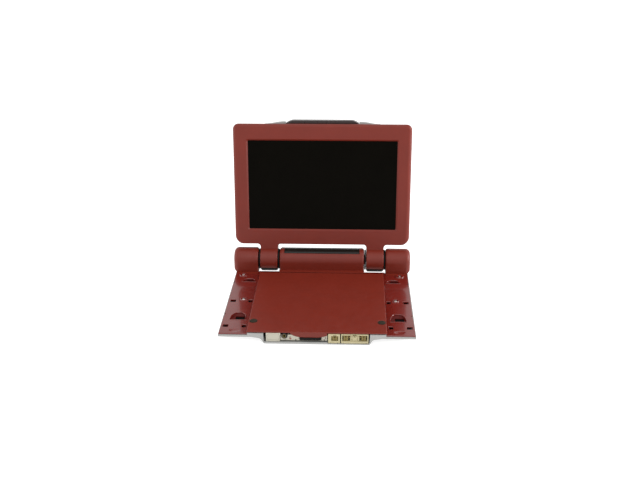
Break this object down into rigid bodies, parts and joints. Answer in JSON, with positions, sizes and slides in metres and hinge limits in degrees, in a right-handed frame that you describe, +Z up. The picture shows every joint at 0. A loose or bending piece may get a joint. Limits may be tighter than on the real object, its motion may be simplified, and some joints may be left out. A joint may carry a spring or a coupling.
{
  "type": "portable dvd player",
  "caption": "Folding disc player: slim base with hinged disc lid and side wings, and a wide screen on two hinge arms that folds down over it.",
  "frame": {"origin": "middle of the plan of the open player, on the table under its feet", "axes": "+X to the right along the screen hinge, +Y to the rear, +Z up"},
  "size_m": [0.1888, 0.1793, 0.1675],
  "materials": {
    "red_gloss": "glossy dark red paint over plastic",
    "red_matte": "matte brown red paint over plastic",
    "silver_grey": "satin silver grey paint",
    "black_gloss": "polished black",
    "lcd_glass": "polished black glass",
    "black_matte": "moulded black",
    "rubber": "matte dark rubber",
    "steel": "plated steel",
    "cream_plastic": "cream nylon",
    "white_plastic": "off white",
    "circuit_board": "green solder mask",
    "battery_wrap": "grey foil wrap",
    "led_lens": "clear red",
    "optical_lens": "coated lens"
  },
  "bodies": {
    "base": {"battery_pack": "battery_wrap", "bottom_case": "silver_grey", "case_screw_front_left": "steel", "case_screw_front_right": "steel", "case_screw_rear_left": "steel", "case_screw_rear_right": "steel", "connector_six_pin": "cream_plastic", "connector_two_pin": "cream_plastic", "drive_chassis": "steel", "front_board": "white_plastic", "guide_rod_left": "steel", "guide_rod_right": "steel", "headphone_jack": "black_matte", "hinge_bracket_left": "steel", "hinge_bracket_right": "steel", "hinge_bush_inner_left": "black_matte", "hinge_bush_inner_right": "black_matte", "hinge_bush_outer_left": "black_matte", "hinge_bush_outer_right": "black_matte", "knuckle_window": "black_gloss", "lid_hinge_rod": "steel", "main_board": "circuit_board", "rear_screw_left": "steel", "rear_screw_right": "steel", "rubber_damper_1": "rubber", "rubber_damper_2": "rubber", "rubber_damper_3": "rubber", "rubber_damper_4": "rubber", "rubber_foot_front_left": "rubber", "rubber_foot_front_right": "rubber", "rubber_foot_rear_left": "rubber", "rubber_foot_rear_right": "rubber", "sled_motor": "steel", "socket_block": "white_plastic", "speaker_left": "black_matte", "speaker_right": "black_matte", "spindle_motor": "steel", "status_led": "led_lens", "top_shell": "red_gloss", "wing_screw_left": "steel", "wing_screw_right": "steel"},
    "screen": {"front_bezel": "red_matte", "back_cover": "silver_grey", "centre_band": "black_gloss", "lcd_panel": "lcd_glass", "backlight": "white_plastic", "screen_board": "circuit_board", "hinge_shaft_left": "steel", "hinge_shaft_right": "steel"},
    "disc_lid": {"disc_lid": "red_matte", "lid_bumper_left": "rubber", "lid_bumper_right": "rubber"},
    "latch": {"lid_latch": "black_matte"},
    "turntable": {"turntable": "black_matte", "turntable_pad": "rubber"},
    "lead_screw": {"lead_screw": "steel"},
    "pickup": {"pickup_sled": "black_matte"},
    "lens": {"objective_lens": "optical_lens"}
  },
  "joints": [
    {"name": "screen_hinge", "type": "hinge", "parent": "base", "child": "screen", "pos_m": [0, 0.0568, 0.01996], "axis": [-1, 0, 0], "range_deg": [-97.96, 75]},
    {"name": "disc_lid_hinge", "type": "hinge", "parent": "base", "child": "disc_lid", "pos_m": [0, 0.0364, 0.0101], "axis": [-1, 0, 0], "range_deg": [0, 55]},
    {"name": "latch_slide", "type": "slide", "parent": "base", "child": "latch", "axis": [-1, 0, 0], "range_m": [0, 0.003], "stiffness_N_per_m": 150},
    {"name": "turntable_spin", "type": "hinge", "parent": "base", "child": "turntable", "pos_m": [0, -0.0238, 0.0085], "axis": [0, 0, 1], "continuous": true},
    {"name": "lead_screw_turn", "type": "hinge", "parent": "base", "child": "lead_screw", "pos_m": [-0.0185, 0, 0.0052], "axis": [0, 1, 0], "range_deg": [0, 4142]},
    {"name": "pickup_slide", "type": "slide", "parent": "base", "child": "pickup", "axis": [0, 1, 0], "range_m": [0, 0.0345]},
    {"name": "lens_focus", "type": "slide", "parent": "pickup", "child": "lens", "axis": [0, 0, 1], "range_m": [-0.0003, 0.0003], "stiffness_N_per_m": 30}
  ],
  "couplings": [
    {"joint": "lead_screw_turn", "follows": "pickup_slide", "rad_per_m": 2094.4}
  ]
}
